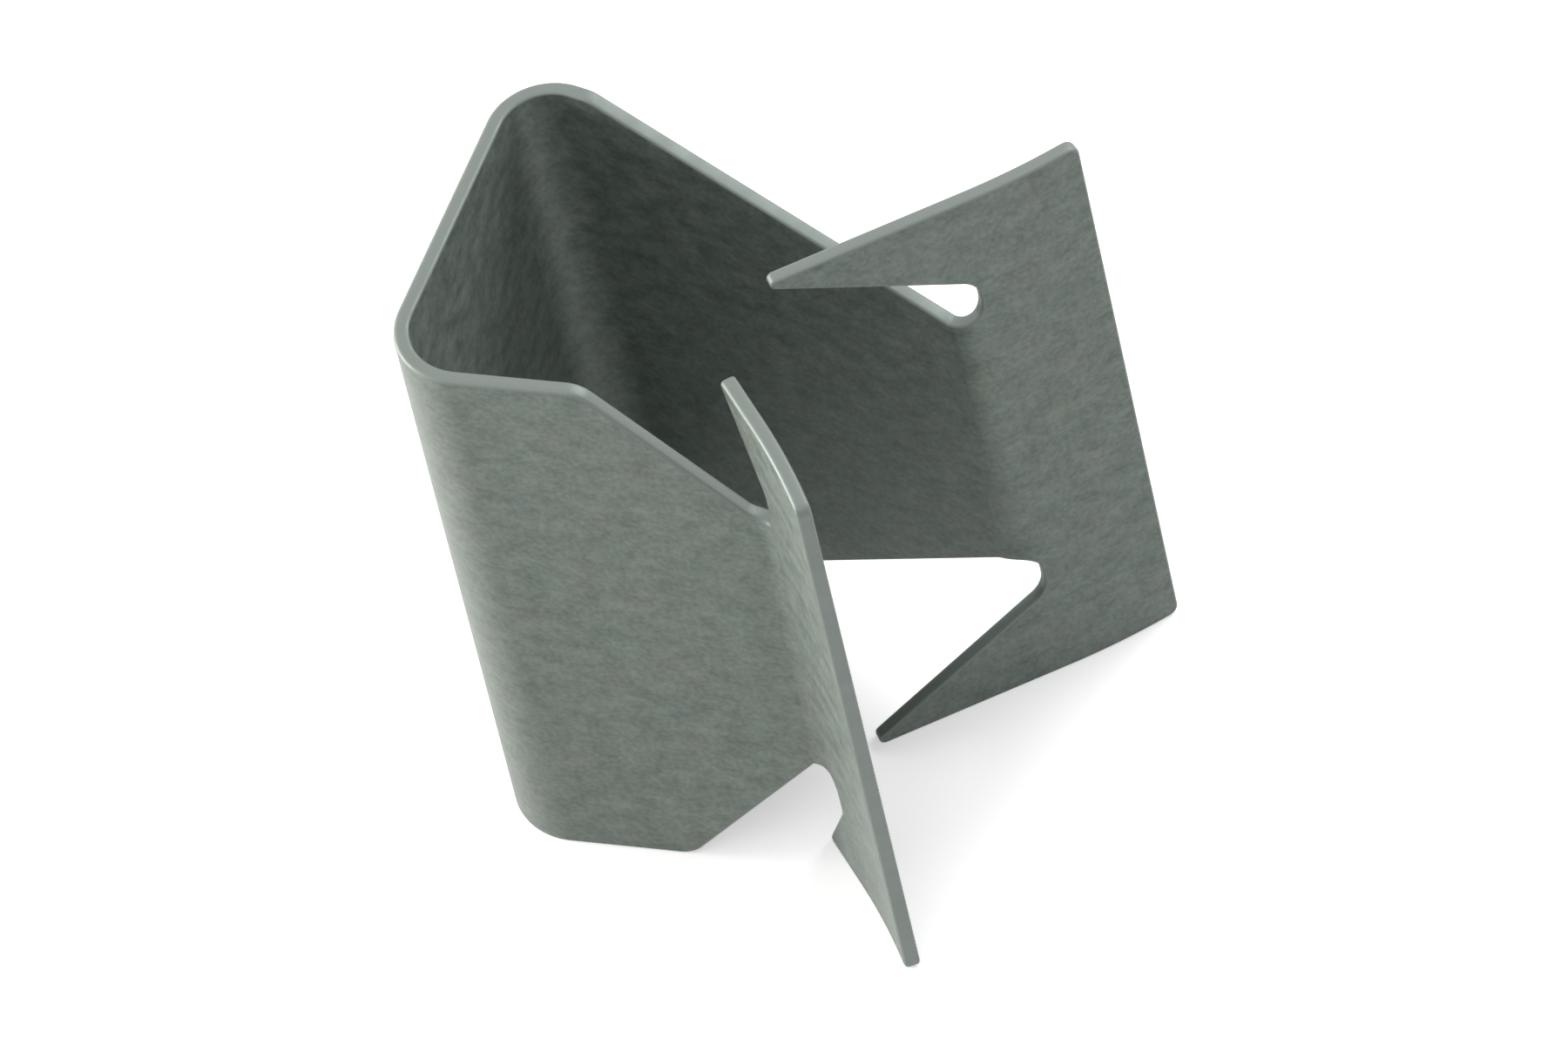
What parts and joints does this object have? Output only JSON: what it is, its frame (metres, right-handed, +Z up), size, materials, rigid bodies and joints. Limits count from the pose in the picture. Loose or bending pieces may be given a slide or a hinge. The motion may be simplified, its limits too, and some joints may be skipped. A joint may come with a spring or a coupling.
{
  "type": "fastener clip",
  "caption": "Folded spring steel clip: a tapering channel with flared flanges, whose barbs point back into the channel to grip a rib.",
  "frame": {"origin": "middle of the clip's box, on the surface that it stands on", "axes": "+Z up along the height of the strip, +X from the web towards the mouth, +Y towards the long leg"},
  "size_m": [0.011, 0.0094, 0.014],
  "materials": {
    "spring_steel": "matte grey coated spring steel with bright sheared edges"
  },
  "bodies": {
    "root": {"spring_clip": "spring_steel"}
  },
  "joints": []
}
